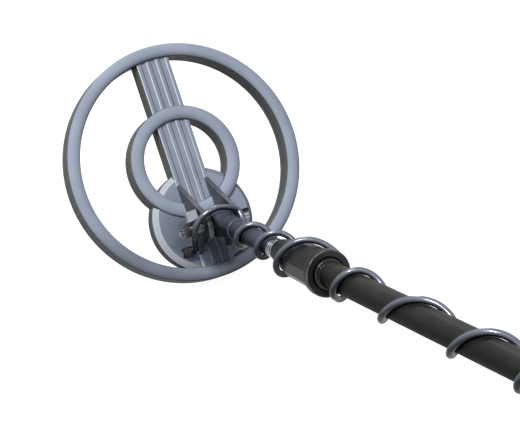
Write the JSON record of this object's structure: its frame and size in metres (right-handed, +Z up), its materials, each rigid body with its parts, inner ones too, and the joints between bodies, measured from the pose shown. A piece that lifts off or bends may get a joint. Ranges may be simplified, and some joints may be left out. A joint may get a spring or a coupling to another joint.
{
  "type": "underground metal detector",
  "caption": "Hand-held underground metal detector with a double ring search head on a tilting hinge, a telescopic shaft with a twist lock, a wound lead, grip, control unit and arm cup.",
  "frame": {"origin": "middle of the bounding box at the floor that the detector lies on", "axes": "+Z up, +Y along the shaft towards the search head, +X to the right when held"},
  "size_m": [0.28, 1.3194, 0.2728],
  "materials": {
    "head_plastic": "satin",
    "head_cover": "satin",
    "copper_winding": "satin",
    "dark_gloss": "gloss",
    "bolt_metal": "satin",
    "bright_metal": "bright",
    "stem_grey": "satin",
    "rod_metal": "satin",
    "white_nylon": "satin",
    "black_plastic": "matt",
    "tube_black": "matt",
    "soft_rubber": "matt",
    "lead_sheath": "satin",
    "lever_grey": "satin",
    "circuit_green": "satin",
    "clear_window": "clear",
    "display_grey": "satin",
    "button_grey": "satin",
    "trigger_red": "satin",
    "pad_fabric": "woven",
    "cell_wrap": "gloss"
  },
  "bodies": {
    "shaft": {"shaft_tube": "tube_black", "split_collet": "white_nylon", "wiper_ring": "soft_rubber", "lead_at_hinge": "lead_sheath", "lead_on_stem": "lead_sheath", "lead_on_shaft": "lead_sheath", "lead_clip": "black_plastic", "lead_plug": "black_plastic", "handle_clamp": "black_plastic", "clamp_screws": "bolt_metal", "grip_core": "black_plastic", "grip_foam": "soft_rubber", "unit_base": "black_plastic", "unit_cover": "black_plastic", "unit_screws": "bolt_metal", "display_window": "clear_window", "display_module": "display_grey", "main_board": "circuit_green", "speaker": "black_plastic", "battery_box": "black_plastic", "battery_cells": "cell_wrap"},
    "stem": {"hinge_tongue": "stem_grey", "friction_washers": "soft_rubber", "lower_rod": "stem_grey", "ferrule": "bright_metal", "inner_rod": "rod_metal", "rod_bush": "white_nylon"},
    "head": {"outer_ring": "head_plastic", "outer_ring_cover": "head_cover", "transmit_coil": "copper_winding", "inner_ring": "head_plastic", "inner_ring_cover": "head_cover", "receive_coil": "copper_winding", "spoke_front": "head_plastic", "disc_front": "head_plastic", "disc_housing": "head_plastic", "disc_cover": "head_cover", "spoke_covers": "head_cover", "cover_screws": "bolt_metal", "signal_board": "circuit_green", "left_cheek": "dark_gloss", "right_cheek": "dark_gloss", "cheek_screws": "bolt_metal", "hinge_bolt": "bolt_metal", "bolt_washer": "bolt_metal", "pin_spacer": "bolt_metal", "lead_gland": "dark_gloss", "lever_nut": "bolt_metal"},
    "lever": {"clamp_lever": "lever_grey"},
    "collar": {"lock_collar": "black_plastic"},
    "finger_trigger": {"trigger": "trigger_red"},
    "button_a": {"push_buttons_a": "button_grey"},
    "button_b": {"push_buttons_b": "button_grey"},
    "button_c": {"push_buttons_c": "button_grey"},
    "knob_l": {"left_knob": "black_plastic"},
    "knob_r": {"right_knob": "black_plastic"},
    "cup": {"arm_cup": "black_plastic", "arm_pad_and_strap": "pad_fabric"},
    "cup_screw": {"cup_thumb_screw": "black_plastic"},
    "door": {"battery_door": "black_plastic"}
  },
  "joints": [
    {"name": "stem_slide", "type": "slide", "parent": "shaft", "child": "stem", "axis": [0, 1, 0], "range_m": [-0.055, 0.15], "deforming": ["lead_on_stem"]},
    {"name": "head_tilt", "type": "hinge", "parent": "stem", "child": "head", "pos_m": [0, 0.5166, 0.07997], "axis": [1, 0, 0], "range_deg": [-50, 45], "deforming": ["lead_at_hinge"]},
    {"name": "lever_turn", "type": "hinge", "parent": "head", "child": "lever", "pos_m": [0, 0.5166, 0.07997], "axis": [1, 0, 0], "range_deg": [-45, 0]},
    {"name": "collar_turn", "type": "hinge", "parent": "shaft", "child": "collar", "pos_m": [0, 0.2936, 0.07997], "axis": [0, 1, 0], "range_deg": [0, 90]},
    {"name": "trigger_press", "type": "slide", "parent": "shaft", "child": "finger_trigger", "axis": [0, -0.9781, 0.2079], "range_m": [0, 0.003], "stiffness_N_per_m": 400},
    {"name": "left_knob_turn", "type": "hinge", "parent": "shaft", "child": "knob_l", "pos_m": [-0.03, -0.38628, 0.21907], "axis": [0, -0.4226, 0.9063], "range_deg": [-140, 140]},
    {"name": "right_knob_turn", "type": "hinge", "parent": "shaft", "child": "knob_r", "pos_m": [0.03, -0.38628, 0.21907], "axis": [0, -0.4226, 0.9063], "range_deg": [-140, 140]},
    {"name": "cup_slide", "type": "slide", "parent": "shaft", "child": "cup", "axis": [0, 1, 0], "range_m": [-0.025, 0.022]},
    {"name": "cup_screw_turn", "type": "hinge", "parent": "cup", "child": "cup_screw", "pos_m": [-0.02, -0.5234, 0.07797], "axis": [1, 0, 0], "range_deg": [0, 360]},
    {"name": "door_swing", "type": "hinge", "parent": "shaft", "child": "door", "pos_m": [0, -0.653, 0.02397], "axis": [1, 0, 0], "range_deg": [0, 90]},
    {"name": "button_a_press", "type": "slide", "parent": "shaft", "child": "button_a", "axis": [0, 0.4226, -0.9063], "range_m": [0, 0.0012], "stiffness_N_per_m": 300},
    {"name": "button_b_press", "type": "slide", "parent": "shaft", "child": "button_b", "axis": [0, 0.4226, -0.9063], "range_m": [0, 0.0012], "stiffness_N_per_m": 300},
    {"name": "button_c_press", "type": "slide", "parent": "shaft", "child": "button_c", "axis": [0, 0.4226, -0.9063], "range_m": [0, 0.0012], "stiffness_N_per_m": 300}
  ]
}
